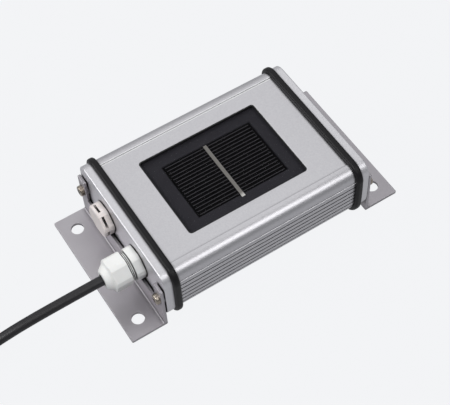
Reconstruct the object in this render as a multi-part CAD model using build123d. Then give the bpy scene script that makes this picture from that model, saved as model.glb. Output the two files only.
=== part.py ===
from build123d import *
import math
import os

# A solar irradiance sensor, in millimetres. X runs along the housing, from the cable gland
# at -X to the closed end at +X. Z is up. The origin is the middle of the four mounting
# holes, in the plane that the feet stand on.

# Housing section, seen along its length
housing_length = 99.0
body_width = 81.6
body_height = 35.9
floor_gap = 2.5
top_corner_radius = 7.0
bottom_corner_radius = 12.0
least_corner_radius = 1.0
side_bulge = 0.6
extrusion_inset = 0.3
side_wall = 2.5
bottom_wall = 2.2
top_wall = 3.0

# Shallow flat channel along the top, and the fine grooves down each side
channel_width = 66.0
channel_depth = 0.5
groove_count = 6
groove_pitch = 3.0
groove_width = 0.8
groove_depth = 0.5
lowest_groove_height = 12.8
shoulder_line_drop = 6.9
shoulder_line_width = 0.45
shoulder_line_depth = 0.25

# End caps and gaskets
cap_thickness = 4.3
cap_edge_radius = 0.6
gasket_thickness = 3.7
gasket_proud = 1.7
gasket_land = 5.0
gasket_edge_radius = 1.3

# Screws that hold bracket, cap and gasket to the housing
screw_rise = 0.55
screw_diameter = 3.0
screw_head_diameter = 5.6
screw_head_height = 2.2
screw_length = 22.0
screw_recess_width = 0.7
screw_recess_length = 2.9
screw_recess_depth = 1.1
screw_hole_clearance = 0.2
boss_diameter = 6.2
boss_height = 0.5

# Angle brackets
bracket_thickness = 1.6
bracket_side_gap = 0.8
foot_reach = 17.9
tab_width = 6.8
tab_above_screw = 8.6
notch_clearance = 0.1
bend_radius = 0.8
sheet_corner_radius = 0.7
sheet_edge_break = 0.2
foot_hole_diameter = 6.6
foot_hole_inset = 8.5
foot_hole_spacing = 61.0

# Window, glass and cell
window_length = 66.2
window_width = 48.8
window_corner_radius = 1.8
window_offset_x = -0.6
window_offset_y = -0.4
window_lip = 0.8
seal_thickness = 0.6
seal_drop = 0.2
glass_overlap = 1.9
glass_thickness = 1.5
glass_clearance = 0.2
cell_length = 50.0
cell_width = 34.0
cell_thickness = 0.2
cell_shift_x = 1.1
cell_gap = 0.4
finger_count = 17
finger_width = 0.35
finger_thickness = 0.1
ribbon_width = 1.8
ribbon_thickness = 0.2
ribbon_tail = 1.6
ribbon_shift = -1.0
backsheet_thickness = 0.6

# Circuit board and what stands on it
board_length = 80.0
board_thickness = 1.6
board_height = 11.0
board_clearance = 0.2
guide_depth = 2.6
guide_thickness = 1.3
shunt_length = 12.0
shunt_width = 5.0
shunt_height = 8.0
terminal_inset = 12.0
terminal_length = 9.0
terminal_height = 10.0
terminal_pitch = 5.0
terminal_hole_diameter = 2.6
terminal_hole_depth = 6.0
terminal_entry_height = 4.5
terminal_screw_diameter = 3.2
terminal_screw_depth = 1.5
sensor_length = 5.0
sensor_width = 4.0
sensor_thickness = 1.6
lead_diameter = 1.2
sensor_lead_diameter = 0.6
sensor_lead_pitch = 2.54

# Cable gland and vent plug, side by side on the front cap
fitting_spacing = 30.0
fitting_rise = 2.35
fitting_thread_diameter = 12.0
fitting_inner_length = 6.0
bore_clearance = 0.1
across_flats = 16.0
hexagon_sides = 6
turned_diameter = 17.2
flat_direction = 138.5
nut_flat_direction = 136.0
washer_diameter = 17.4
washer_thickness = 0.4
washer_edge_break = 0.1
gland_hex_length = 4.4
gland_thread_diameter = 13.4
gland_thread_length = 9.0
gland_bore = 7.0
insert_bore = 10.4
insert_stand_out = 1.2
insert_taper = 1.0
nut_gap = 2.3
neck_ring_diameter = 14.8
neck_ring_thickness = 0.45
neck_ring_count = 2
nut_hex_length = 8.3
nut_shoulder_diameter = 14.0
nut_shoulder_length = 0.9
nut_nose_diameter = 9.4
nut_nose_length = 3.0
nut_nose_radius = 1.6
nut_mouth_clearance = 0.5
nut_wall_at_nose = 1.8
nut_taper_start = 6.6
locknut_thickness = 3.0
vent_length = 5.4
vent_edge = 0.6
vent_slot_start = 2.8
vent_slot_width = 1.2
vent_rib_width = 2.6
vent_chamber_diameter = 10.0
vent_bore = 7.0
membrane_thickness = 0.3
membrane_diameter = 9.6

# Cable
cable_diameter = 5.0
route_arc_share = 0.45
sheath_inside = 2.0
core_diameter = 1.3
core_offset = 0.8
core_count = 4
core_straight = 2.0
coil_centre_x = -172.0
coil_mean_radius = 30.0
coil_layers = 4
coil_turns_per_layer = 3.75
coil_edge_radius = 2.3
tie_count = 2
tie_angle = 20.0
tie_thickness = 1.0
tie_width = 4.6
tie_clearance = 0.3
tie_head_length = 5.0
tie_head_height = 6.5
bare_core_length = 20.0
bare_core_spread = 3.6
ferrule_diameter = 1.5
ferrule_length = 8.0
ferrule_collar_diameter = 2.3
ferrule_collar_length = 4.0
running_clearance = 0.1

# Planes and levels that follow from the sizes above
housing_end = housing_length / 2
cap_inner = housing_end + gasket_thickness
cap_face = cap_inner + cap_thickness
bracket_back = cap_face + boss_height
bracket_front_face = bracket_back + bracket_thickness
foot_end = bracket_front_face + foot_reach
foot_hole_x = foot_end - foot_hole_inset
body_top = floor_gap + body_height
body_middle = floor_gap + body_height / 2
screw_height = body_middle + screw_rise
fitting_height = body_middle + fitting_rise
tab_height = screw_height + tab_above_screw
notch_floor_height = fitting_height - turned_diameter / 2 - notch_clearance
bracket_width = body_width - 2 * bracket_side_gap
panel_top = body_top - extrusion_inset - channel_depth
ceiling = panel_top - top_wall
glass_top = panel_top - window_lip
glass_bottom = glass_top - glass_thickness
cell_top = glass_bottom - ribbon_thickness - finger_thickness
cell_bottom = cell_top - cell_thickness
glass_length = window_length + 2 * glass_overlap
glass_width = window_width + 2 * glass_overlap
screw_y = (bracket_width - tab_width) / 2
hole_diameter = screw_diameter + screw_hole_clearance
board_top = board_height + board_thickness
hexagon_step = 360 / hexagon_sides
gland_y = -fitting_spacing / 2
vent_y = fitting_spacing / 2
cell_x = window_offset_x + cell_shift_x
ribbon_x = cell_x + ribbon_shift


def body_outline(side_inset, bottom_inset, top_inset):
    """The housing's outline as a face, with slightly bulged sides, set in by the given amounts."""
    corner = body_width / 2 - side_bulge - side_inset
    bulged = corner + side_bulge
    low = floor_gap + bottom_inset
    high = body_top - top_inset
    middle = (low + high) / 2
    face = make_face(
        [
            Line((-corner, low), (corner, low)),
            ThreePointArc((corner, low), (bulged, middle), (corner, high)),
            Line((corner, high), (-corner, high)),
            ThreePointArc((-corner, high), (-bulged, middle), (-corner, low)),
        ]
    )
    lower = face.vertices().filter_by(lambda v: v.Y < middle)
    face = fillet(lower, max(bottom_corner_radius - side_inset, least_corner_radius))
    upper = face.vertices().group_by(Axis.Y)[-1]
    return fillet(upper, max(top_corner_radius - side_inset, least_corner_radius))


def slab(face, x_low, x_high):
    """A face drawn with Y across and Z up, given thickness along X."""
    return extrude(Plane.YZ.offset(x_low) * face, amount=x_high - x_low)


def rod(x_low, x_high, y, z, diameter):
    """A round bar along X."""
    return slab(Pos(y, z) * Circle(diameter / 2), x_low, x_high)


def hex_bar(x_low, x_high, y, z, direction):
    """A hexagon bar along X whose corners are turned down, one flat facing the given way."""
    turn = direction - hexagon_step / 2
    hexagon = RegularPolygon(across_flats / 2, hexagon_sides, major_radius=False, rotation=turn)
    return slab(Pos(y, z) * hexagon, x_low, x_high) & rod(x_low, x_high, y, z, turned_diameter)


def plate(length, width, radius, x, y, z_low, z_high):
    """A flat plate with rounded corners, from one level to another."""
    outline = RectangleRounded(length, width, radius)
    return extrude(Pos(x, y, z_low) * outline, amount=z_high - z_low)


def arc_radii(points):
    """For each corner of a route, the radius whose arc takes up that share of the shorter run."""
    radii = []
    for before, here, after in zip(points, points[1:], points[2:]):
        run_in = Vector(*here) - Vector(*before)
        run_out = Vector(*after) - Vector(*here)
        half_turn = math.radians(run_in.get_angle(run_out) / 2)
        reach = route_arc_share * min(run_in.length, run_out.length)
        radii.append(reach / math.tan(half_turn))
    return radii


def wire(points, diameter):
    """A round wire along straight runs joined by arcs as large as the runs allow."""
    path = FilletPolyline(*points, radius=arc_radii(points))
    return sweep(Plane(path @ 0, z_dir=path % 0) * Circle(diameter / 2), path)


def turned(part):
    """The same piece on the other end of the housing."""
    return Rot(0, 0, 180) * part


def both_sides(make):
    """A piece and its twin on the other long side."""
    return [make(screw_y), make(-screw_y)]


# Housing extrusion: one section with screw channels, board guides, top channel and grooves
def extruded_housing():
    ends = (-housing_end, housing_end)
    shell = slab(body_outline(extrusion_inset, extrusion_inset, extrusion_inset), *ends)
    solid = shell
    hollow = slab(
        body_outline(
            extrusion_inset + side_wall, extrusion_inset + bottom_wall, body_top - ceiling
        ),
        *ends,
    )
    shell = shell - hollow
    wall_inside = body_width / 2 - extrusion_inset - side_wall
    guides = []
    for side in (-1, 1):
        shell = shell + (rod(*ends, side * screw_y, screw_height, boss_diameter) & solid)
        middle_y = side * (wall_inside - guide_depth / 2 + side_wall / 2)
        for low in (board_height - guide_thickness, board_top + board_clearance):
            guide = Rectangle(guide_depth + side_wall, guide_thickness)
            place = Pos(middle_y, low + guide_thickness / 2)
            guides.append(slab(place * guide, *ends) & solid)
    for guide in guides:
        shell = shell + guide
    for side in (-1, 1):
        shell = shell - rod(*ends, side * screw_y, screw_height, hole_diameter)
        for k in range(groove_count):
            height = lowest_groove_height + k * groove_pitch
            shell = shell - groove(side, height, groove_width, groove_depth)
        line_height = body_top - shoulder_line_drop
        shell = shell - groove(side, line_height, shoulder_line_width, shoulder_line_depth)
    channel = Rectangle(channel_width, 2 * channel_depth)
    shell = shell - slab(Pos(0, panel_top + channel_depth) * channel, *ends)
    shell = shell - plate(
        window_length,
        window_width,
        window_corner_radius,
        window_offset_x,
        window_offset_y,
        ceiling - channel_depth,
        body_top,
    )
    return shell - plate(
        glass_length + 2 * glass_clearance,
        glass_width + 2 * glass_clearance,
        window_corner_radius,
        window_offset_x,
        window_offset_y,
        ceiling - channel_depth,
        glass_top,
    )


def groove(side, height, width, depth):
    """One groove along a long side; its floor follows the bulge of the side."""
    sagitta = side_bulge * ((height - body_middle) / (body_height / 2)) ** 2
    inner = body_width / 2 - extrusion_inset - sagitta - depth
    reach = depth + side_bulge
    section = Pos(side * (inner + reach / 2), height) * Rectangle(reach, width)
    return slab(section, -housing_end, housing_end)


# End caps: the front one carries gland and vent, the rear one is closed
def end_cap():
    cap = slab(body_outline(0, 0, 0), cap_inner, cap_face)
    cap = fillet(cap.faces().sort_by(Axis.X)[-1].edges(), cap_edge_radius)
    for y in (-screw_y, screw_y):
        cap = cap + rod(cap_face, bracket_back, y, screw_height, boss_diameter)
    for y in (-screw_y, screw_y):
        cap = cap - rod(cap_inner, bracket_back, y, screw_height, hole_diameter)
    return cap


def front_cap():
    cap = turned(end_cap())
    for y in (gland_y, vent_y):
        bore = fitting_thread_diameter + 2 * bore_clearance
        cap = cap - rod(-cap_face, -cap_inner, y, fitting_height, bore)
    return cap


def gasket():
    """A flat rubber frame whose rounded edge stands proud of caps and housing."""
    ring = slab(body_outline(-gasket_proud, -gasket_proud, -gasket_proud), housing_end, cap_inner)
    rims = ring.edges().filter_by(lambda e: abs(e.tangent_at(0.5).X) < 0.5)
    ring = fillet(rims, gasket_edge_radius)
    inside = body_outline(gasket_land, gasket_land, gasket_land)
    ring = ring - slab(inside, housing_end, cap_inner)
    for y in (-screw_y, screw_y):
        ring = ring + rod(housing_end, cap_inner, y, screw_height, boss_diameter)
    for y in (-screw_y, screw_y):
        ring = ring - rod(housing_end, cap_inner, y, screw_height, hole_diameter)
    return ring


# Brackets: an angle with a foot outwards and two tabs up
def bracket():
    profile = Polyline(
        (bracket_back, 0),
        (foot_end, 0),
        (foot_end, bracket_thickness),
        (bracket_front_face, bracket_thickness),
        (bracket_front_face, tab_height),
        (bracket_back, tab_height),
        close=True,
    )
    face = make_face(profile)
    heel = face.vertices().sort_by_distance((bracket_back, 0, 0))[0]
    face = fillet(heel, bend_radius)
    bend = face.vertices().sort_by_distance((bracket_front_face, bracket_thickness, 0))[0]
    face = fillet(bend, bend_radius)
    angle = extrude(Plane.XZ.offset(-bracket_width / 2) * face, amount=bracket_width)
    notch_width = bracket_width - 2 * tab_width
    notch_height = tab_height - notch_floor_height
    notch = Pos(
        (bracket_back + bracket_front_face) / 2, 0, notch_floor_height + notch_height
    ) * Box(2 * bracket_thickness, notch_width, 2 * notch_height)
    angle = angle - notch
    tops = angle.edges().filter_by(Axis.X).group_by(Axis.Z)[-1]
    angle = fillet(tops, sheet_corner_radius)
    toes = angle.edges().filter_by(Axis.Z).group_by(Axis.X)[-1]
    angle = fillet(toes, sheet_corner_radius)
    angle = chamfer(cut_rims(angle), sheet_edge_break)
    for y in (-foot_hole_spacing / 2, foot_hole_spacing / 2):
        hole = Cylinder(foot_hole_diameter / 2, 4 * bracket_thickness)
        angle = angle - Pos(foot_hole_x, y, 0) * hole
    for y in (-screw_y, screw_y):
        angle = angle - rod(bracket_back, bracket_front_face, y, screw_height, hole_diameter)
    return angle


def cut_rims(angle):
    """The edges left by cutting the sheet: both rims of its sides, tops, notch and toe."""
    sides = angle.faces().filter_by(Axis.Y).edges()
    rims = [edge for edge in sides if abs(edge.length - bracket_thickness) > sheet_edge_break]
    for edge in angle.edges().filter_by(Axis.Y):
        middle = edge.center()
        at_top = abs(middle.Z - tab_height) < sheet_edge_break
        at_floor = abs(middle.Z - notch_floor_height) < sheet_edge_break
        at_toe = abs(middle.X - foot_end) < sheet_edge_break
        if at_top or at_floor or at_toe:
            rims.append(edge)
    return rims


def bracket_screw(y):
    """A pan head screw with a cross recess, seated on the bracket's tab."""
    head_top = bracket_front_face + screw_head_height
    head = rod(bracket_front_face, head_top, y, screw_height, screw_head_diameter)
    rim = head.faces().sort_by(Axis.X)[-1].edges()
    head = fillet(rim, screw_head_height / 3)
    for turn in (0, 90):
        cross = Rot(0, 0, turn) * Rectangle(screw_recess_width, screw_recess_length)
        head = head - slab(Pos(y, screw_height) * cross, head_top - screw_recess_depth, head_top)
    shank_end = bracket_front_face - screw_length
    shank = rod(shank_end, bracket_front_face, y, screw_height, screw_diameter)
    return head + shank


# Window: black bead, glass, then the laminate under it
def window_seal():
    outer = plate(
        window_length,
        window_width,
        window_corner_radius,
        window_offset_x,
        window_offset_y,
        glass_top,
        panel_top - seal_drop,
    )
    inner = plate(
        window_length - 2 * seal_thickness,
        window_width - 2 * seal_thickness,
        window_corner_radius - seal_thickness,
        window_offset_x,
        window_offset_y,
        glass_top,
        panel_top - seal_drop,
    )
    return outer - inner


def under_window(length, width, z_low, z_high):
    """A layer of the laminate, centred on the window."""
    return plate(
        length, width, window_corner_radius, window_offset_x, window_offset_y, z_low, z_high
    )


def cell_block(length, width, z_low, z_high, x, y):
    """A sharp cornered layer of the cell."""
    return Pos(x, y, (z_low + z_high) / 2) * Box(length, width, z_high - z_low)


def mask_frame():
    """The dark sheet that fills the laminate round the cell, with a slot for the ribbon's tail."""
    frame = under_window(glass_length, glass_width, cell_bottom, glass_bottom)
    frame = frame - cell_block(
        cell_length + 2 * cell_gap,
        cell_width + 2 * cell_gap,
        cell_bottom,
        glass_bottom,
        cell_x,
        window_offset_y,
    )
    slot_length = ribbon_tail + cell_gap
    slot_y = window_offset_y - cell_width / 2 - slot_length / 2
    slot_size = ribbon_width + 2 * cell_gap
    return frame - cell_block(slot_size, slot_length, cell_bottom, glass_bottom, ribbon_x, slot_y)


def cell_fingers():
    """Printed silver lines along the cell, evenly spaced across it."""
    pitch = cell_width / finger_count
    first = window_offset_y - cell_width / 2 + pitch / 2
    return [
        cell_block(
            cell_length - pitch,
            finger_width,
            cell_top,
            cell_top + finger_thickness,
            cell_x,
            first + k * pitch,
        )
        for k in range(finger_count)
    ]


def busbar_ribbon():
    """The tinned ribbon across the fingers; its tail reaches past the cell's edge."""
    length = cell_width + ribbon_tail
    y = window_offset_y - ribbon_tail / 2
    low = cell_top + finger_thickness
    return cell_block(ribbon_width, length, low, glass_bottom, ribbon_x, y)


# Circuit board and parts
board_half_width = body_width / 2 - side_wall - side_bulge - 2 * board_clearance - extrusion_inset
terminal_y = gland_y
terminal_x = -board_length / 2 + terminal_inset + terminal_length / 2
terminal_width = core_count * terminal_pitch + 1.0
backsheet_bottom = cell_bottom - backsheet_thickness
sensor_bottom = backsheet_bottom - sensor_thickness
lead_y = window_offset_y - cell_width / 2 - ribbon_tail / 2


def circuit_board():
    board = cell_block(board_length, 2 * board_half_width, board_height, board_top, 0, 0)
    corners = board.edges().filter_by(Axis.Z)
    return fillet(corners, window_corner_radius)


def terminal_block():
    """A row of screw terminals with wire entries that face the gland."""
    block = cell_block(
        terminal_length, terminal_width, board_top, board_top + terminal_height, terminal_x, terminal_y
    )
    entry_face = terminal_x - terminal_length / 2
    for y in core_rows():
        entry = rod(
            entry_face,
            entry_face + terminal_hole_depth,
            y,
            board_top + terminal_entry_height,
            terminal_hole_diameter,
        )
        block = block - entry
        screw_well = Cylinder(terminal_screw_diameter / 2, 2 * terminal_screw_depth)
        block = block - Pos(terminal_x, y, board_top + terminal_height) * screw_well
    return block


def core_rows():
    """The Y of each terminal."""
    first = terminal_y - (core_count - 1) * terminal_pitch / 2
    return [first + k * terminal_pitch for k in range(core_count)]


def shunt_resistor():
    block = cell_block(
        shunt_length, shunt_width, board_top, board_top + shunt_height, cell_x, shunt_length
    )
    return fillet(block.edges().group_by(Axis.Z)[-1], shunt_width / 6)


def upright_wire(x, y, z_low, z_high, diameter):
    """A straight wire that stands on the board."""
    return Pos(x, y, (z_low + z_high) / 2) * Cylinder(diameter / 2, z_high - z_low)


def temperature_sensor():
    """The sensor glued to the underside of the laminate, under the middle of the cell."""
    return cell_block(sensor_length, sensor_width, sensor_bottom, backsheet_bottom, cell_x, 0)


def sensor_leads():
    """The sensor's two legs down to the board."""
    steps = (-sensor_lead_pitch / 2, sensor_lead_pitch / 2)
    return [
        upright_wire(cell_x + step, 0, board_top, sensor_bottom, sensor_lead_diameter)
        for step in steps
    ]


def cell_leads():
    """The two wires that carry the cell's current down to the board."""
    return [
        upright_wire(ribbon_x + step, lead_y, board_top, backsheet_bottom, lead_diameter)
        for step in (-terminal_pitch, terminal_pitch)
    ]


# Gland and vent: distances are measured outwards from the front cap's face
def outwards(distance):
    return -(cap_face + distance)


hex_start = washer_thickness
gland_hex_end = hex_start + gland_hex_length
nut_start = gland_hex_end + nut_gap
nut_hex_end = nut_start + nut_hex_length
shoulder_end = nut_hex_end + nut_shoulder_length
nose_end = shoulder_end + nut_nose_length
thread_end = gland_hex_end + gland_thread_length
mouth_x = outwards(nose_end)
mouth_diameter = cable_diameter + 2 * nut_mouth_clearance


def washer(y):
    """The flat rubber ring under a fitting, with rounded outer edges."""
    low, high = outwards(washer_thickness), outwards(0)
    ring = rod(low, high, y, fitting_height, washer_diameter)
    ring = chamfer(ring.edges().filter_by(GeomType.CIRCLE), washer_edge_break)
    hole = fitting_thread_diameter + 2 * bore_clearance
    return ring - rod(low, high, y, fitting_height, hole)


def threaded_shank(y):
    """The fitting's thread through the cap, long enough for its locknut."""
    inner_end = outwards(-cap_thickness - fitting_inner_length)
    return rod(outwards(hex_start), inner_end, y, fitting_height, fitting_thread_diameter)


def gland_body():
    """The hexagon that sits on the cap, with its thread for the nut and two rings in the gap."""
    inner_end = outwards(-cap_thickness - fitting_inner_length)
    body = hex_bar(outwards(gland_hex_end), outwards(hex_start), gland_y, fitting_height, flat_direction)
    body = body + threaded_shank(gland_y)
    thread = rod(
        outwards(thread_end), outwards(gland_hex_end), gland_y, fitting_height, gland_thread_diameter
    )
    body = body + thread
    for k in range(neck_ring_count):
        middle = gland_hex_end + nut_gap * (k + 1) / (neck_ring_count + 1)
        low = outwards(middle + neck_ring_thickness / 2)
        high = outwards(middle - neck_ring_thickness / 2)
        body = body + rod(low, high, gland_y, fitting_height, neck_ring_diameter)
    body = body - rod(outwards(thread_end), inner_end, gland_y, fitting_height, gland_bore)
    return body - rod(
        outwards(thread_end), outwards(gland_hex_end), gland_y, fitting_height, insert_bore
    )


def seal_insert():
    """The soft sleeve that the dome nut squeezes onto the cable."""
    outer = insert_bore - 2 * running_clearance
    front, back = outwards(thread_end + insert_stand_out), outwards(gland_hex_end)
    sleeve = rod(front, back, gland_y, fitting_height, outer)
    sleeve = chamfer(sleeve.faces().sort_by(Axis.X)[0].edges(), insert_taper)
    bore = cable_diameter + 2 * running_clearance
    return sleeve - rod(front, back, gland_y, fitting_height, bore)


def dome_nut():
    """A hexagon nut that narrows in a shoulder and a rounded nose to the cable's mouth."""
    full = turned_diameter / 2
    thread_radius = gland_thread_diameter / 2 + running_clearance
    mouth_radius = mouth_diameter / 2
    outline = Polyline(
        (-nut_start, thread_radius),
        (-nut_start, full),
        (-nut_hex_end, full),
        (-shoulder_end, nut_shoulder_diameter / 2),
        (-nose_end, nut_nose_diameter / 2),
        (-nose_end, mouth_radius),
        (-nose_end + nut_wall_at_nose, mouth_radius),
        (-nut_start - nut_taper_start, thread_radius),
        close=True,
    )
    face = make_face(outline)
    nose = face.vertices().group_by(Axis.X)[0].sort_by(Axis.Y)[-1]
    face = fillet(nose, nut_nose_radius)
    nut = Pos(-cap_face, gland_y, fitting_height) * revolve(Plane.XZ * face, Axis.X)
    ends = (outwards(nose_end), outwards(nut_start))
    return nut & hex_bar(*ends, gland_y, fitting_height, nut_flat_direction)


def locknut(y):
    """The hexagon nut behind the cap."""
    low = -cap_inner
    high = -cap_inner + locknut_thickness
    nut = hex_bar(low, high, y, fitting_height, flat_direction)
    return nut - rod(low, high, y, fitting_height, fitting_thread_diameter + 2 * running_clearance)


def vent_body():
    """A hexagon plug with a slotted rim, through which air reaches the membrane."""
    end = hex_start + vent_length
    body = hex_bar(outwards(end), outwards(hex_start), vent_y, fitting_height, flat_direction)
    front_edges = body.faces().sort_by(Axis.X)[0].edges()
    body = chamfer(front_edges, vent_edge)
    body = body + threaded_shank(vent_y)
    slot_low = outwards(hex_start + vent_slot_start + vent_slot_width)
    slot_high = outwards(hex_start + vent_slot_start)
    slot = rod(slot_low, slot_high, vent_y, fitting_height, turned_diameter)
    for k in range(3):
        turn = flat_direction + hexagon_step / 2 + hexagon_step * k
        rib = Pos(vent_y, fitting_height) * Rot(0, 0, turn) * Rectangle(turned_diameter, vent_rib_width)
        slot = slot - slab(rib, slot_low, slot_high)
    body = body - slot
    body = body - rod(slot_low, slot_high, vent_y, fitting_height, vent_chamber_diameter)
    inner_end = outwards(-cap_thickness - fitting_inner_length)
    return body - rod(slot_high, inner_end, vent_y, fitting_height, vent_bore)


def vent_membrane():
    """The thin breathing disc on the ledge inside the plug."""
    seat = outwards(hex_start + vent_slot_start)
    return rod(seat - membrane_thickness, seat, vent_y, fitting_height, membrane_diameter)


# Cable: inside the gland, along the floor, coil, ties and bare end
sheath_end = outwards(-cap_thickness - fitting_inner_length) + sheath_inside


def cable_in_gland():
    return rod(mouth_x, sheath_end, gland_y, fitting_height, cable_diameter)


def core_places():
    """Where the four cores lie in the sheath, seen along it, in the order of the terminals."""
    return [(-core_offset, core_offset), (-core_offset, -core_offset)] + [
        (core_offset, -core_offset),
        (core_offset, core_offset),
    ]


def inner_cores():
    """The cores from the sheath's end down to the terminals."""
    entry_face = terminal_x - terminal_length / 2
    entry_z = board_top + terminal_entry_height
    cores = []
    for row, (across, up) in zip(core_rows(), core_places()):
        start = (sheath_end, gland_y + across, fitting_height + up)
        bend = (sheath_end + core_straight, gland_y + across, fitting_height + up)
        landing = (entry_face - core_straight, row, entry_z)
        seat = (entry_face + terminal_hole_depth - core_straight, row, entry_z)
        cores.append(wire([start, bend, landing, seat], core_diameter))
    return cores


coil_pitch = cable_diameter
coil_band = coil_pitch * coil_turns_per_layer
coil_outer_turn = coil_mean_radius + coil_band / 2
coil_inner_turn = coil_mean_radius - coil_band / 2
coil_outer_radius = coil_outer_turn + cable_diameter / 2
coil_inner_radius = coil_inner_turn - cable_diameter / 2
coil_bottom = tie_thickness
coil_top = coil_bottom + coil_layers * cable_diameter
coil_centre_y = gland_y + coil_outer_turn
top_turn_height = coil_top - cable_diameter / 2
bottom_turn_height = coil_bottom + cable_diameter / 2
tail_height = cable_diameter / 2
ferrule_height = ferrule_collar_diameter / 2
stub_length = math.sqrt(
    coil_outer_radius**2 - (coil_outer_turn - cable_diameter / 2) ** 2
) + cable_diameter / 4


def cable_coil():
    """The outer shape of the tied coil, with the straight ends of its first and last turns."""
    ring = Cylinder(coil_outer_radius, coil_top - coil_bottom)
    ring = ring - Cylinder(coil_inner_radius, coil_top - coil_bottom)
    ring = fillet(ring.edges().filter_by(GeomType.CIRCLE), coil_edge_radius)
    ring = Pos(coil_centre_x, coil_centre_y, (coil_top + coil_bottom) / 2) * ring
    entry = rod(
        coil_centre_x, coil_centre_x + stub_length, gland_y, top_turn_height, cable_diameter
    )
    leaving = rod(
        coil_centre_x - stub_length, coil_centre_x, gland_y, bottom_turn_height, cable_diameter
    )
    return ring + entry + leaving


def coil_tie(angle):
    """A flat strap round the coil's bundle, with its lock on the outer side."""
    inner_low = coil_inner_radius - tie_clearance
    inner_high = coil_outer_radius + tie_clearance
    middle = (inner_low + inner_high) / 2
    inner_height = coil_top + tie_clearance - coil_bottom
    outer_height = inner_height + 2 * tie_thickness
    loop = RectangleRounded(
        inner_high - inner_low + 2 * tie_thickness, outer_height, 2 * tie_thickness
    ) - Rectangle(inner_high - inner_low, inner_height)
    section = Pos(middle, outer_height / 2) * loop
    strap = extrude(Plane.XZ.offset(-tie_width / 2) * section, amount=tie_width)
    lock = Pos(
        inner_high + tie_thickness + tie_head_length / 2 - tie_thickness / 2, 0, outer_height / 2
    ) * Box(tie_head_length, tie_width + tie_thickness, tie_head_height)
    strap = strap + lock
    return Pos(coil_centre_x, coil_centre_y, 0) * Rot(0, 0, angle) * strap


# The cable's route from the gland's mouth to the coil, as points of its centreline
lead_route = [
    (mouth_x, gland_y, fitting_height),
    (-99.0, gland_y, fitting_height),
    (-119.0, gland_y, fitting_height - 0.7),
    (-132.0, gland_y, fitting_height - 2.4),
    (-141.5, gland_y, top_turn_height),
    (coil_centre_x + stub_length, gland_y, top_turn_height),
]
tail_route = [
    (coil_centre_x - stub_length, gland_y, bottom_turn_height),
    (coil_centre_x - stub_length - 9.0, gland_y, bottom_turn_height),
    (coil_centre_x - stub_length - 20.0, gland_y - 0.3, tail_height),
    (coil_centre_x - stub_length - 29.0, gland_y - 0.3, tail_height),
]


def cord_tube(name, points):
    """The plain tube of a stretch of cable, with its radii and volume told."""
    radii = arc_radii(points)
    path = FilletPolyline(*points, radius=radii)
    tube = sweep(Plane(path @ 0, z_dir=path % 0) * Circle(cable_diameter / 2), path)
    expected = math.pi * cable_diameter**2 / 4 * path.length
    print(name, "radii", [round(r) for r in radii], "length", round(path.length, 2))
    print(name, "volume", round(tube.volume, 1), "section times length", round(expected, 1))
    return tube


def bare_cores():
    """The four cores at the cable's far end, spread out over the floor."""
    end_x, end_y, end_z = tail_route[-1]
    cores = []
    for row, (across, up) in zip(ferrule_rows(), core_places()):
        start = (end_x, end_y + across, end_z + up)
        bend = (end_x - core_straight, end_y + across, end_z + up)
        landing = (end_x - bare_core_length + ferrule_collar_length, row, ferrule_height)
        tip = (end_x - bare_core_length, row, ferrule_height)
        cores.append(wire([start, bend, landing, tip], core_diameter))
    return cores


def ferrule_rows():
    """The Y of each core's tip on the floor."""
    first = tail_route[-1][1] - (core_count - 1) * bare_core_spread / 2
    return [first + k * bare_core_spread for k in range(core_count)]


def core_ferrules():
    """Crimped sleeves with a plastic collar that holds the core's end."""
    tip = tail_route[-1][0] - bare_core_length
    ferrules = []
    for row in ferrule_rows():
        collar_start = tip + ferrule_collar_length / 2
        collar_end = tip - ferrule_collar_length / 2
        collar = rod(collar_end, collar_start, row, ferrule_height, ferrule_collar_diameter)
        collar = collar - rod(tip, collar_start, row, ferrule_height, core_diameter)
        sleeve = rod(
            tip - ferrule_length, collar_end, row, ferrule_height, ferrule_diameter
        )
        ferrules.append(collar + sleeve)
    return ferrules


def write(name, solids):
    """One file per sub-part; like pieces are separate solids in one file."""
    if isinstance(solids, list):
        shapes = [s for piece in solids for s in piece.solids()]
        export_step(Compound(children=shapes, label=name), f"parts/{name}.step")
    else:
        export_step(solids, f"parts/{name}.step")


os.makedirs("parts", exist_ok=True)
write("extruded_housing", extruded_housing())
write("end_cap_front", front_cap())
write("end_cap_rear", end_cap())
write("gasket_front", turned(gasket()))
write("gasket_rear", gasket())
write("bracket_front", turned(bracket()))
write("bracket_rear", bracket())
write("bracket_screws_front", [turned(s) for s in both_sides(bracket_screw)])
write("bracket_screws_rear", both_sides(bracket_screw))
write("window_seal", window_seal())
write("cover_glass", under_window(glass_length, glass_width, glass_bottom, glass_top))
write("laminate_mask", mask_frame())
write(
    "solar_cell",
    cell_block(cell_length, cell_width, cell_bottom, cell_top, cell_x, window_offset_y),
)
write("cell_fingers", cell_fingers())
write("busbar_ribbon", busbar_ribbon())
write("backsheet", under_window(glass_length, glass_width, backsheet_bottom, cell_bottom))
write("circuit_board", circuit_board())
write("terminal_block", terminal_block())
write("shunt_resistor", shunt_resistor())
write("temperature_sensor", temperature_sensor())
write("sensor_leads", sensor_leads())
write("cell_leads", cell_leads())
write("gland_body", gland_body())
write("gland_washer", washer(gland_y))
write("gland_seal_insert", seal_insert())
write("gland_dome_nut", dome_nut())
write("gland_locknut", locknut(gland_y))
write("vent_body", vent_body())
write("vent_washer", washer(vent_y))
write("vent_membrane", vent_membrane())
write("vent_locknut", locknut(vent_y))
write("cable_in_gland", cable_in_gland())
write("inner_cores", inner_cores())
write("cable_lead", cord_tube("cable_lead", lead_route))
write("cable_coil", cable_coil())
write("cable_tail", cord_tube("cable_tail", tail_route))
write("coil_ties", [coil_tie(tie_angle + k * 360 / tie_count) for k in range(tie_count)])
write("bare_cores", bare_cores())
write("core_ferrules", core_ferrules())
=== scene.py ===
import math

import bpy
from mathutils import Matrix, Vector


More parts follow.
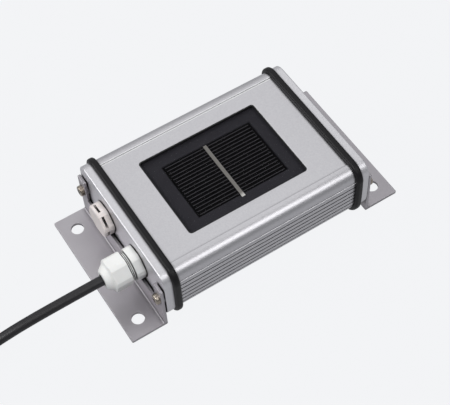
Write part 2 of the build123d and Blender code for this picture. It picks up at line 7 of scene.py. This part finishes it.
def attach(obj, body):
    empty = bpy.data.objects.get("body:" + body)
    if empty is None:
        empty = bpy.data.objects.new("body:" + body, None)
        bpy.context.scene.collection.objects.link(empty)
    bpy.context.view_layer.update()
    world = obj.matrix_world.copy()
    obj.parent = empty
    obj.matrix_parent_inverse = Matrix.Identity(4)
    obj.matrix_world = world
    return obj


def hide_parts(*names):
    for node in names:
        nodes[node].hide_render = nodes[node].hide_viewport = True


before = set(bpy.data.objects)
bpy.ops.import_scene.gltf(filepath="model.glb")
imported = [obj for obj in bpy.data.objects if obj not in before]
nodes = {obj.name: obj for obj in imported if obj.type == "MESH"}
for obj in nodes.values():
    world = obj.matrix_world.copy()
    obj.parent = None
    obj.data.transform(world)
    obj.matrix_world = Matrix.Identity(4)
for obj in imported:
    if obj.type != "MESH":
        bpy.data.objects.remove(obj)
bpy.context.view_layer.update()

MM = 0.001


# Camera. The photograph looks down on the near corner with the cable gland. Its place was
# solved from the housing's edges, so it is written as the direction to the camera, the
# distance and the small slide that centres the frame.
camera_azimuth = math.radians(-29.609)
camera_elevation = math.radians(55.844)
camera_roll = math.radians(-3.468)
camera_distance = 572.733 * MM
camera_slide_right = 0.391 * MM
camera_slide_up = -3.280 * MM
camera_lens = 90.177
sensor_width = 36.0

towards_camera = Vector(
    (
        math.sin(camera_azimuth) * math.cos(camera_elevation),
        -math.cos(camera_azimuth) * math.cos(camera_elevation),
        math.sin(camera_elevation),
    )
)
level_right = Vector((0, 0, 1)).cross(towards_camera).normalized()
level_up = towards_camera.cross(level_right)
camera_right = level_right * math.cos(camera_roll) + level_up * math.sin(camera_roll)
camera_up = level_up * math.cos(camera_roll) - level_right * math.sin(camera_roll)
camera_place = (
    towards_camera * camera_distance
    - camera_right * camera_slide_right
    - camera_up * camera_slide_up
)
bpy.ops.object.camera_add()
camera = bpy.context.object
camera.matrix_world = Matrix.Translation(camera_place) @ Matrix(
    (camera_right, camera_up, towards_camera)
).transposed().to_4x4()
camera.data.sensor_width = sensor_width
camera.data.lens = camera_lens
camera.data.clip_start = 0.01
camera.data.clip_end = 20.0
bpy.context.scene.camera = camera
bpy.context.scene.view_settings.view_transform = "Standard"


# Cable. A round black PVC cable of 5 mm, about 3 m long. It leaves the gland nearly straight,
# comes down to the coil and is wound into it in four layers; its far end lies beside it.
cable_radius = 2.5 * MM
gland_y = -15.0
gland_z = 22.8
mouth_x = -76.8
coil_x = -172.0
coil_mean_radius = 30.0
coil_layers = 4
turns_per_layer = 3.75
turn_pitch = 5.0
drop_turns = 0.25
points_per_turn = 16
stub_end = 21.093  # the lead and the tail meet the turns this far from the coil's middle
top_turn_z = 18.5
bottom_turn_z = 3.5
floor_z = cable_radius / MM
tail_y = gland_y - 0.3
lead_points = [
    (mouth_x, gland_y, gland_z),
    (-99.0, gland_y, gland_z),
    (-119.0, gland_y, 22.1),
    (-132.0, gland_y, 20.4),
    (-141.5, gland_y, top_turn_z),
    (coil_x + stub_end, gland_y, top_turn_z),
]
tail_points = [
    (coil_x - stub_end, gland_y, bottom_turn_z),
    (coil_x - stub_end - 9.0, gland_y, bottom_turn_z),
    (coil_x - stub_end - 20.0, tail_y, floor_z),
    (coil_x - stub_end - 29.0, tail_y, floor_z),
]


def eased(share):
    """A rise from 0 to 1 that starts and ends level."""
    return share * share * (3 - 2 * share)


def coil_points():
    """The wound turns: each layer runs from its outer turn to its inner one or back."""
    band = turn_pitch * turns_per_layer
    outer = coil_mean_radius + band / 2
    centre_y = gland_y + outer
    total = coil_layers * turns_per_layer
    steps = int(total * points_per_turn)
    # The curve cuts the corners between its points, so these lie a little further out.
    widen = 1 / (0.75 + 0.25 * math.cos(2 * math.pi / points_per_turn))
    points = []
    for step in range(steps + 1):
        turns = step / points_per_turn
        layer = min(int(turns / turns_per_layer), coil_layers - 1)
        along = turns / turns_per_layer - layer
        inwards = along if layer % 2 == 0 else 1 - along
        radius = outer - band * inwards
        grow = widen if 0 < step < steps else 1.0
        angle = -math.pi / 2 - 2 * math.pi * turns
        to_next = (turns - (layer + 1) * turns_per_layer) / drop_turns + 0.5
        since_last = (turns - layer * turns_per_layer) / drop_turns + 0.5
        drop = layer
        if layer < coil_layers - 1 and to_next > 0:
            drop = layer + eased(to_next)
        elif layer > 0 and since_last < 1:
            drop = layer - 1 + eased(since_last)
        height = top_turn_z - drop * turn_pitch
        points.append(
            (
                coil_x + radius * grow * math.cos(angle),
                centre_y + radius * grow * math.sin(angle),
                height,
            )
        )
    return points


route = lead_points + coil_points() + tail_points
cable_curve = bpy.data.curves.new("signal_cable", "CURVE")
cable_curve.dimensions = "3D"
cable_spline = cable_curve.splines.new("NURBS")
cable_spline.points.add(len(route) - 1)
for point, place in zip(cable_spline.points, route):
    point.co = (place[0] * MM, place[1] * MM, place[2] * MM, 1.0)
cable_spline.order_u = 3
cable_spline.use_endpoint_u = True
cable_spline.resolution_u = 6
cable_curve.bevel_depth = cable_radius
cable_curve.bevel_resolution = 5
cable_curve.use_fill_caps = True
cable = bpy.data.objects.new("signal_cable", cable_curve)
bpy.context.scene.collection.objects.link(cable)


def linear(code):
    """An sRGB hex colour as linear red, green, blue and alpha."""
    parts = [int(code[i : i + 2], 16) / 255 for i in (1, 3, 5)]
    return [
        part / 12.92 if part <= 0.04045 else ((part + 0.055) / 1.055) ** 2.4 for part in parts
    ] + [1.0]


def add(tree, kind, settings=None, sockets=None, links=None):
    """Adds a node with its settings, its socket values and the outputs linked to its sockets."""
    node = tree.nodes.new(kind)
    for name, value in (settings or {}).items():
        setattr(node, name, value)
    for name, value in (sockets or {}).items():
        node.inputs[name].default_value = value
    for name, output in (links or {}).items():
        tree.links.new(output, node.inputs[name])
    return node


def new_material(name, sockets):
    """A material with a Principled shader that holds the given constants."""
    material = bpy.data.materials.new(name)
    material.use_nodes = True
    shader = material.node_tree.nodes["Principled BSDF"]
    for socket, value in sockets.items():
        shader.inputs[socket].default_value = value
    return material, material.node_tree, shader


def mottled(tree, scale, detail, dark, light, roughness=0.5):
    """Irregular patches between two shades: gives the pattern and the colour."""
    where = add(tree, "ShaderNodeTexCoord")
    patches = add(
        tree,
        "ShaderNodeTexNoise",
        sockets={"Scale": scale, "Detail": detail, "Roughness": roughness},
        links={"Vector": where.outputs["Object"]},
    )
    tint = add(tree, "ShaderNodeValToRGB", links={"Fac": patches.outputs["Fac"]})
    tint.color_ramp.elements[0].color = linear(dark)
    tint.color_ramp.elements[1].color = linear(light)
    return patches.outputs["Fac"], tint.outputs["Color"]


def wear(piece, material):
    """Gives the piece that one material."""
    piece.data.materials.clear()
    piece.data.materials.append(material)


# PVC sheath: extruded, so smooth along its length with a faint satin skin and a fine mottle.
sheath, tree, shader = new_material(
    "extruded_black_pvc", {"Roughness": 0.42, "IOR": 1.52, "Specular IOR Level": 0.5}
)
patches, colour = mottled(tree, 900.0, 3.0, "#131215", "#1F1E21")
tree.links.new(colour, shader.inputs["Base Color"])
grain = add(
    tree,
    "ShaderNodeBump",
    sockets={"Strength": 0.12, "Distance": 0.05 * MM},
    links={"Height": patches},
)
tree.links.new(grain.outputs["Normal"], shader.inputs["Normal"])
wear(cable, sheath)
wear(nodes["cable_in_gland"], sheath)
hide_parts("cable_lead", "cable_coil", "cable_tail")
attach(cable, "root")


# Coil ties. Two black nylon straps, moulded with fine teeth, closed through their own lock.
tie_teeth_pitch = 1.0
tie_nylon, tree, shader = new_material("moulded_black_nylon", {"Roughness": 0.38, "IOR": 1.53})
patches, colour = mottled(tree, 400.0, 2.0, "#1B1B1D", "#2A2A2C")
tree.links.new(colour, shader.inputs["Base Color"])
where = add(tree, "ShaderNodeTexCoord")
teeth = add(
    tree,
    "ShaderNodeTexWave",
    settings={"bands_direction": "Z", "wave_profile": "SAW"},
    sockets={"Scale": math.pi / (10 * tie_teeth_pitch * MM)},
    links={"Vector": where.outputs["Object"]},
)
grain = add(
    tree,
    "ShaderNodeBump",
    sockets={"Strength": 0.4, "Distance": 0.2 * MM},
    links={"Height": teeth.outputs["Fac"]},
)
tree.links.new(grain.outputs["Normal"], shader.inputs["Normal"])
wear(nodes["coil_ties"], tie_nylon)


# Cores. Four thin insulated wires in white, brown, green and yellow, told apart by their
# place across the cable; they show at the far end and inside the housing.
def core_material(name, middle_y, spacing):
    """Insulation whose colour changes from one wire to the next."""
    material, tree, shader = new_material(name, {"Roughness": 0.4})
    where = add(tree, "ShaderNodeTexCoord")
    axes = add(tree, "ShaderNodeSeparateXYZ", links={"Vector": where.outputs["Object"]})
    across = add(
        tree,
        "ShaderNodeMapRange",
        sockets={
            "From Min": (middle_y - 2 * spacing) * MM,
            "From Max": (middle_y + 2 * spacing) * MM,
        },
        links={"Value": axes.outputs["Y"]},
    )
    ramp = add(tree, "ShaderNodeValToRGB", links={"Fac": across.outputs["Result"]})
    ramp.color_ramp.interpolation = "CONSTANT"
    for k, code in enumerate(("#D8D8D4", "#5A3A26", "#2F7A45", "#C9B030")):
        stop = ramp.color_ramp.elements[k] if k < 2 else ramp.color_ramp.elements.new(k / 4)
        stop.position = k / 4
        stop.color = linear(code)
    tree.links.new(ramp.outputs["Color"], shader.inputs["Base Color"])
    return material


far_end_spread = 3.6
terminal_pitch = 5.0
wear(nodes["bare_cores"], core_material("core_insulation_far_end", tail_y, far_end_spread))
wear(nodes["inner_cores"], core_material("core_insulation_inside", gland_y, terminal_pitch))

tinned, tree, shader = new_material("tinned_copper", {"Metallic": 1.0, "Roughness": 0.3})
_, colour = mottled(tree, 700.0, 4.0, "#A7A49C", "#CFCCC4")
tree.links.new(colour, shader.inputs["Base Color"])
for name in ("core_ferrules", "cell_leads", "sensor_leads"):
    wear(nodes[name], tinned)


# Housing. An aluminium extrusion, bead blasted and clear anodised: an even satin grey on the
# flat top, with faint die lines along X on the rounded shoulders and between the side grooves.
def edge_normal(tree, radius):
    """The surface's direction with its edges broken to that radius, in millimetres."""
    return add(
        tree, "ShaderNodeBevel", settings={"samples": 6}, sockets={"Radius": radius * MM}
    ).outputs["Normal"]


def painted_gap_shade(tree, colour, reach):
    """The colour with painted shade: darker where a groove or a gap shuts out the light."""
    return add(
        tree,
        "ShaderNodeAmbientOcclusion",
        settings={"samples": 8},
        sockets={"Distance": reach * MM},
        links={"Color": colour},
    ).outputs["Color"]


def painted_line(tree, along, middle, width, under, code):
    """The colour under it, with a thin line of another colour at that place along one axis; it
    paints highlight and shade lines.
    """
    band = add(
        tree,
        "ShaderNodeMath",
        settings={"operation": "COMPARE"},
        sockets={1: middle * MM, 2: width / 2 * MM},
        links={0: along},
    )
    line = add(
        tree,
        "ShaderNodeMix",
        settings={"data_type": "RGBA"},
        sockets={"B": linear(code)},
        links={"Factor": band.outputs[0], "A": under},
    )
    return line.outputs["Result"]


def anodised(name, light, dark, roughness, line_strength, painted_step_lines=(), ledge=None):
    """Clear anodised aluminium: a satin metal with fine grit and faint lines along X, with
    painted shade in its grooves and gaps and any painted highlight and shade lines given.
    """
    material, tree, shader = new_material(name, {"Metallic": 1.0})
    where = add(tree, "ShaderNodeTexCoord")
    grit = add(
        tree,
        "ShaderNodeTexNoise",
        sockets={"Scale": 1500.0, "Detail": 3.0, "Roughness": 0.6},
        links={"Vector": where.outputs["Object"]},
    )
    stretch = add(
        tree,
        "ShaderNodeMapping",
        sockets={"Scale": (4.0, 900.0, 900.0)},
        links={"Vector": where.outputs["Object"]},
    )
    lines = add(
        tree,
        "ShaderNodeTexNoise",
        sockets={"Scale": 1.0, "Detail": 4.0},
        links={"Vector": stretch.outputs["Vector"]},
    )
    tint = add(tree, "ShaderNodeValToRGB", links={"Fac": grit.outputs["Fac"]})
    tint.color_ramp.elements[0].position = 0.3
    tint.color_ramp.elements[1].position = 0.7
    tint.color_ramp.elements[0].color = linear(dark)
    tint.color_ramp.elements[1].color = linear(light)
    axes = add(tree, "ShaderNodeSeparateXYZ", links={"Vector": where.outputs["Object"]})
    colour = tint.outputs["Color"]
    # Painted highlight and painted shade lines where the profile has small steps.
    for axis, middle, width, code in painted_step_lines:
        colour = painted_line(tree, axes.outputs[axis], middle, width, colour, code)
    # Painted shade: the colour darkens in the side grooves and where a gap or a neighbouring
    # part shuts out the light.
    tree.links.new(painted_gap_shade(tree, colour, 1.2), shader.inputs["Base Color"])
    gloss = add(
        tree,
        "ShaderNodeMapRange",
        sockets={"To Min": roughness - 0.03, "To Max": roughness + 0.03},
        links={"Value": lines.outputs["Fac"]},
    )
    tree.links.new(gloss.outputs["Result"], shader.inputs["Roughness"])
    drawn = add(
        tree,
        "ShaderNodeBump",
        sockets={"Strength": line_strength, "Distance": 0.03 * MM},
        links={"Height": lines.outputs["Fac"], "Normal": edge_normal(tree, 0.2)},
    )
    if ledge:
        low, high, depth = ledge
        rise = add(
            tree,
            "ShaderNodeMapRange",
            sockets={
                "From Min": low * MM,
                "From Max": high * MM,
                "To Min": 1.0,
                "To Max": 0.0,
            },
            links={"Value": axes.outputs["Z"]},
        )
        drawn = add(
            tree,
            "ShaderNodeBump",
            sockets={"Strength": 1.0, "Distance": depth * MM},
            links={"Height": rise.outputs["Result"], "Normal": drawn.outputs["Normal"]},
        )
    blasted = add(
        tree,
        "ShaderNodeBump",
        sockets={"Strength": 0.08, "Distance": 0.02 * MM},
        links={"Height": grit.outputs["Fac"], "Normal": drawn.outputs["Normal"]},
    )
    tree.links.new(blasted.outputs["Normal"], shader.inputs["Normal"])
    return material


# The channel on top has its two steps painted as lines: painted highlights along the far step
# and a painted shade line along the near one. The line along each shoulder is a small ledge that
# catches the light, with a painted shade line a little below it.
channel_side = 33.0
shoulder_line_z = 31.5
wear(
    nodes["extruded_housing"],
    anodised(
        "anodised_extruded_aluminium",
        "#D2D1D4",
        "#C8C7CB",
        roughness=0.34,
        line_strength=0.10,
        painted_step_lines=(
            ("Y", channel_side + 0.1, 0.5, "#F4F4F6"),
            ("Y", channel_side - 0.5, 0.5, "#FFFFFF"),
            ("Y", -channel_side, 0.4, "#B0AFB3"),
            ("Z", shoulder_line_z - 1.9, 0.4, "#B0AFB3"),
        ),
        ledge=(shoulder_line_z - 0.75, shoulder_line_z - 0.25, 1.0),
    ),
)


# End caps. Milled from plate and anodised like the housing, with a small round all along the
# outer edge that catches the light.
cap_finish = anodised(
    "anodised_milled_aluminium", "#E4E3E6", "#D8D7DB", roughness=0.42, line_strength=0.06
)
for name in ("end_cap_front", "end_cap_rear"):
    wear(nodes[name], cap_finish)


# Gaskets. Moulded black rubber frames with a dull shine, standing proud of the metal with a
# rounded edge. The small sealing rings of the two fittings are of a more matt rubber.
def moulded_rubber(name, light, dark, roughness):
    """Black rubber with a dull shine and a fine skin."""
    material, tree, shader = new_material(
        name, {"Roughness": roughness, "IOR": 1.52, "Specular IOR Level": 0.22}
    )
    skin, colour = mottled(tree, 1100.0, 5.0, dark, light, roughness=0.65)
    tree.links.new(colour, shader.inputs["Base Color"])
    pores = add(
        tree,
        "ShaderNodeBump",
        sockets={"Strength": 0.05, "Distance": 0.05 * MM},
        links={"Height": skin},
    )
    tree.links.new(pores.outputs["Normal"], shader.inputs["Normal"])
    return material


gasket_rubber = moulded_rubber("moulded_black_rubber", "#19181B", "#131214", roughness=0.4)
for name in ("gasket_front", "gasket_rear"):
    wear(nodes[name], gasket_rubber)
ring_rubber = moulded_rubber("moulded_ring_rubber", "#1A1A1B", "#0E0E0F", roughness=0.55)
for name in ("gland_washer", "vent_washer", "gland_seal_insert"):
    wear(nodes[name], ring_rubber)


# Brackets. Cut from drawn aluminium angle and anodised: a fine grain along Y, edges only just
# broken, a small round in the inner corner.
def drawn_angle(name):
    """Anodised aluminium with its drawing grain along Y, and painted shade in its gaps."""
    material, tree, shader = new_material(name, {"Metallic": 1.0})
    where = add(tree, "ShaderNodeTexCoord")
    stretch = add(
        tree,
        "ShaderNodeMapping",
        sockets={"Scale": (1100.0, 18.0, 1100.0)},
        links={"Vector": where.outputs["Object"]},
    )
    lines = add(
        tree,
        "ShaderNodeTexNoise",
        sockets={"Scale": 1.0, "Detail": 5.0},
        links={"Vector": stretch.outputs["Vector"]},
    )
    _, colour = mottled(tree, 60.0, 2.0, "#B5B1B6", "#C0BDC1")
    # Painted shade: the colour darkens in gaps and corners that shut out the light.
    tree.links.new(painted_gap_shade(tree, colour, 3.0), shader.inputs["Base Color"])
    gloss = add(
        tree,
        "ShaderNodeMapRange",
        sockets={"To Min": 0.42, "To Max": 0.52},
        links={"Value": lines.outputs["Fac"]},
    )
    tree.links.new(gloss.outputs["Result"], shader.inputs["Roughness"])
    drawn = add(
        tree,
        "ShaderNodeBump",
        sockets={"Strength": 0.2, "Distance": 0.03 * MM},
        links={"Height": lines.outputs["Fac"], "Normal": edge_normal(tree, 0.15)},
    )
    tree.links.new(drawn.outputs["Normal"], shader.inputs["Normal"])
    return material


bracket_finish = drawn_angle("anodised_drawn_aluminium")
for name in ("bracket_front", "bracket_rear"):
    wear(nodes[name], bracket_finish)


# Bracket screws. Stainless steel pan heads, bright, with warm and dark reflections painted into
# their colour as patches.
screw_steel, tree, shader = new_material("polished_stainless_steel", {"Metallic": 1.0})
patches, colour = mottled(tree, 300.0, 3.0, "#8F8478", "#BFB7AC")
tree.links.new(colour, shader.inputs["Base Color"])
gloss = add(
    tree,
    "ShaderNodeMapRange",
    sockets={"To Min": 0.16, "To Max": 0.28},
    links={"Value": patches},
)
tree.links.new(gloss.outputs["Result"], shader.inputs["Roughness"])
for name in ("bracket_screws_front", "bracket_screws_rear"):
    wear(nodes[name], screw_steel)


# Window. A black bead of sealant runs round the cut edge, and a clear pane with an
# anti-reflective face lies just under the panel.
bead, tree, shader = new_material("cured_black_sealant", {"Roughness": 0.6})
_, colour = mottled(tree, 800.0, 2.0, "#0A0A0B", "#18181A")
tree.links.new(colour, shader.inputs["Base Color"])
wear(nodes["window_seal"], bead)

pane, tree, shader = new_material(
    "anti_reflective_glass",
    {
        "Base Color": linear("#101113"),
        "IOR": 1.45,
        "Specular IOR Level": 0.06,
        "Alpha": 0.08,
    },
)
where = add(tree, "ShaderNodeTexCoord")
haze = add(
    tree,
    "ShaderNodeTexNoise",
    sockets={"Scale": 45.0, "Detail": 2.0},
    links={"Vector": where.outputs["Object"]},
)
gloss = add(
    tree,
    "ShaderNodeMapRange",
    sockets={"To Min": 0.05, "To Max": 0.12},
    links={"Value": haze.outputs["Fac"]},
)
tree.links.new(gloss.outputs["Result"], shader.inputs["Roughness"])
wear(nodes["cover_glass"], pane)


# Cell. Black silicon with printed silver lines that show as dark grey, a ribbon across them,
# and a dark sheet round it, all laminated under the pane.
def flat_layer(name, light, dark, roughness, scale, sheen=0.06):
    """A flat layer with a slight mottle; under the pane its face barely shines."""
    material, tree, shader = new_material(
        name, {"Roughness": roughness, "Specular IOR Level": sheen}
    )
    _, colour = mottled(tree, scale, 3.0, dark, light)
    tree.links.new(colour, shader.inputs["Base Color"])
    return material


wear(nodes["solar_cell"], flat_layer("black_silicon", "#050506", "#020203", 0.5, 120.0))
wear(nodes["laminate_mask"], flat_layer("dark_laminate_sheet", "#38373C", "#313035", 0.55, 90.0))
wear(nodes["backsheet"], flat_layer("dark_backsheet", "#2C2B30", "#232327", 0.6, 90.0))
wear(nodes["cell_fingers"], flat_layer("printed_silver_lines", "#4C4A4E", "#403E42", 0.6, 300.0))

# The ribbon is dull tinned copper, bright where solder covers its tail.
solder_start_y = -15.6
solder_full_y = -19.2
ribbon, tree, shader = new_material("soldered_ribbon", {"Roughness": 0.45, "Metallic": 0.2})
where = add(tree, "ShaderNodeTexCoord")
axes = add(tree, "ShaderNodeSeparateXYZ", links={"Vector": where.outputs["Object"]})
tail = add(
    tree,
    "ShaderNodeMapRange",
    sockets={"From Min": solder_full_y * MM, "From Max": solder_start_y * MM},
    links={"Value": axes.outputs["Y"]},
)
tint = add(tree, "ShaderNodeValToRGB", links={"Fac": tail.outputs["Result"]})
tint.color_ramp.elements[0].color = linear("#F6F4F0")
tint.color_ramp.elements[1].color = linear("#83807C")
tint.color_ramp.elements[1].position = 0.75
tree.links.new(tint.outputs["Color"], shader.inputs["Base Color"])
wear(nodes["busbar_ribbon"], ribbon)


# Circuit board and what stands on it, hidden in the closed housing.
for name, finish, light, dark, roughness, scale in (
    ("circuit_board", "green_solder_mask", "#1E6B3E", "#185A33", 0.4, 200.0),
    ("terminal_block", "green_terminal_plastic", "#2A7F4C", "#23703F", 0.45, 300.0),
    ("shunt_resistor", "resistor_epoxy", "#3A3A3E", "#303034", 0.5, 300.0),
    ("temperature_sensor", "sensor_epoxy", "#1E1E20", "#161618", 0.5, 300.0),
):
    wear(nodes[name], flat_layer(finish, light, dark, roughness, scale, sheen=0.5))


# Gland. White nylon, injection moulded: a hexagon body screwed into the cap, and a dome nut
# that clamps the cable. The plastic is slightly translucent, with a fine skin.
def moulded_nylon(name, light, dark, roughness):
    """Pale moulded nylon that lets a little light in, with painted shade in its slots and gaps.
    """
    material, tree, shader = new_material(
        name,
        {
            "Roughness": roughness,
            "IOR": 1.53,
            "Subsurface Weight": 0.12,
            "Subsurface Radius": (1.0, 0.9, 0.8),
            "Subsurface Scale": 0.6 * MM,
        },
    )
    _, colour = mottled(tree, 120.0, 2.0, dark, light)
    # Painted shade: the colour darkens in slots and in gaps that shut out the light.
    tree.links.new(painted_gap_shade(tree, colour, 2.5), shader.inputs["Base Color"])
    where = add(tree, "ShaderNodeTexCoord")
    skin = add(
        tree,
        "ShaderNodeTexNoise",
        sockets={"Scale": 1600.0, "Detail": 3.0},
        links={"Vector": where.outputs["Object"]},
    )
    pores = add(
        tree,
        "ShaderNodeBump",
        sockets={"Strength": 0.12, "Distance": 0.03 * MM},
        links={"Height": skin.outputs["Fac"], "Normal": edge_normal(tree, 0.25)},
    )
    tree.links.new(pores.outputs["Normal"], shader.inputs["Normal"])
    return material


gland_nylon = moulded_nylon("moulded_white_nylon", "#F7F7F5", "#F0F1EF", roughness=0.4)
for name in ("gland_body", "gland_dome_nut", "gland_locknut"):
    wear(nodes[name], gland_nylon)


# Vent plug. The same hexagon in an off-white nylon with a pink cast; its slots lead to a
# breathing membrane.
vent_nylon = moulded_nylon("moulded_offwhite_nylon", "#F0E8E5", "#E8DFDC", roughness=0.42)
for name in ("vent_body", "vent_locknut"):
    wear(nodes[name], vent_nylon)
wear(nodes["vent_membrane"], flat_layer("porous_white_film", "#E8E8E6", "#D8D8D6", 0.8, 900.0))


# Floor. A white sweep that the camera sees nearly shadowless, as in a product photograph, and
# that the metal mirrors in part.
def sees_backdrop(tree, in_metal):
    """How much of the bright backdrop a ray meets: all from the camera, less in the metal."""
    ray = add(tree, "ShaderNodeLightPath")
    direct = add(
        tree,
        "ShaderNodeMath",
        settings={"operation": "MAXIMUM"},
        links={0: ray.outputs["Is Camera Ray"], 1: ray.outputs["Is Transmission Ray"]},
    )
    mirrored = add(
        tree,
        "ShaderNodeMath",
        settings={"operation": "MULTIPLY"},
        sockets={1: in_metal},
        links={0: ray.outputs["Is Glossy Ray"]},
    )
    return add(
        tree,
        "ShaderNodeMath",
        settings={"operation": "MAXIMUM"},
        links={0: direct.outputs[0], 1: mirrored.outputs[0]},
    ).outputs[0]


floor_glow = 0.95
floor_in_metal = 0.40
bpy.ops.mesh.primitive_plane_add(size=6.0, location=(0, 0, -0.0002))
floor = bpy.context.object
floor.name = "studio_floor"
white, tree, shader = new_material(
    "white_paper", {"Base Color": linear("#8A8B8E"), "Roughness": 0.9, "Specular IOR Level": 0.1}
)
glow = add(tree, "ShaderNodeEmission", sockets={"Color": linear("#F7F8FA"), "Strength": 1.0})
share = add(
    tree,
    "ShaderNodeMath",
    settings={"operation": "MULTIPLY"},
    sockets={1: floor_glow},
    links={0: sees_backdrop(tree, floor_in_metal)},
)
blend = add(
    tree,
    "ShaderNodeMixShader",
    links={0: share.outputs[0], 1: shader.outputs[0], 2: glow.outputs[0]},
)
tree.links.new(blend.outputs[0], tree.nodes["Material Output"].inputs["Surface"])
wear(floor, white)


# Studio light. Six soft boxes in a pale room. The flat top mirrors the large one, the near
# shoulder mirrors the next two, and the far shoulder and the caps' edges mirror the ones behind.
def soft_box(place, aim, size, power):
    """A square area lamp that faces the point it lights."""
    lamp_data = bpy.data.lights.new("soft_box", "AREA")
    lamp_data.shape = "SQUARE"
    lamp_data.size = size
    lamp_data.energy = power
    lamp = bpy.data.objects.new("soft_box", lamp_data)
    bpy.context.scene.collection.objects.link(lamp)
    facing = (Vector(aim) - Vector(place)).to_track_quat("-Z", "Y")
    lamp.matrix_world = Matrix.Translation(place) @ facing.to_matrix().to_4x4()


for place, aim, size, power in (
    ((0.35, 0.62, 1.05), (0, 0, 0), 0.9, 1.72),
    ((0.3, 0.0, 1.1), (0, 0, 0), 0.45, 0.4),
    ((0.29, -0.6, 0.86), (0, 0, 0.02), 0.5, 1.75),
    ((-0.75, 0.6, 0.7), (0, 0, 0), 0.7, 4.6),
    ((-0.56, -0.2, 0.95), (0, 0, 0), 0.5, 4.5),
    ((0.3, 1.0, 0.4), (0.1, 0.3, 0), 0.7, 0.5),
):
    soft_box(place, aim, size, power)

room_in_metal = 0.08
world = bpy.data.worlds.new("pale_room")
bpy.context.scene.world = world
world.use_nodes = True
tree = world.node_tree
room = tree.nodes["Background"]
room.inputs["Color"].default_value = linear("#E9EBEE")
room.inputs["Strength"].default_value = 0.30
backdrop = add(
    tree, "ShaderNodeBackground", sockets={"Color": linear("#F7F8FA"), "Strength": 1.0}
)
choice = add(
    tree,
    "ShaderNodeMixShader",
    links={
        0: sees_backdrop(tree, room_in_metal),
        1: room.outputs[0],
        2: backdrop.outputs[0],
    },
)
tree.links.new(choice.outputs[0], tree.nodes["World Output"].inputs["Surface"])
